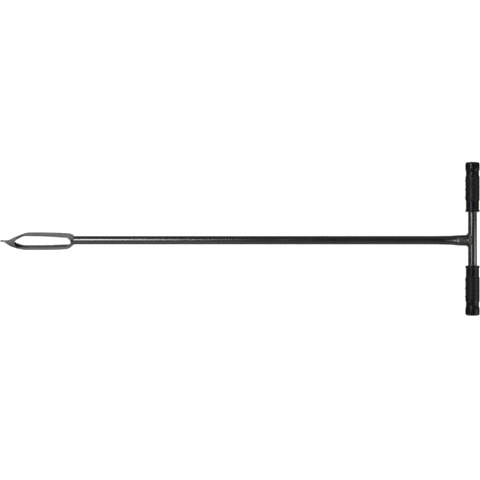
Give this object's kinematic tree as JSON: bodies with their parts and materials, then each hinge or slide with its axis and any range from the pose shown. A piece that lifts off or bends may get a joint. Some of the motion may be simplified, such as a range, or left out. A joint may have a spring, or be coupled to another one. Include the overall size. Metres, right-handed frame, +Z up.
{
  "type": "hand earth auger",
  "caption": "T-handled hand earth auger: long steel shaft pressed flat onto a bare steel crossbar with moulded rubber grips, and an open two-bladed bit that closes to a twisted point.",
  "frame": {"origin": "on the floor under the middle of the auger as it lies flat: bottom centre of its bounding box", "axes": "+X along the shaft from the point to the handle, +Y along the crossbar towards the left grip, +Z up from the floor"},
  "size_m": [1.25, 0.394, 0.036],
  "materials": {
    "shaft_steel": "dark drawn steel tube, semi-gloss, fine lines along it, heat-tinted at the welds",
    "bar_steel": "polished steel tube with fine drawing lines",
    "grip_rubber": "black moulded rubber, satin, shinier at the ends and finely grained on the body",
    "blade_steel": "forged steel with thin dull scale, ground along the leading edges, stained by soil in the spoon",
    "weld_steel": "weld bead darkened by heat, dressed flush where the tube meets the bit"
  },
  "bodies": {
    "root": {"shaft_tube": "shaft_steel", "crossbar_tube": "bar_steel", "left_grip": "grip_rubber", "right_grip": "grip_rubber", "handle_weld": "weld_steel", "bit_boss": "blade_steel", "left_blade": "blade_steel", "right_blade": "blade_steel", "pilot_point": "blade_steel", "shaft_weld": "weld_steel", "left_root_weld": "weld_steel", "right_root_weld": "weld_steel", "point_weld": "weld_steel"}
  },
  "joints": []
}
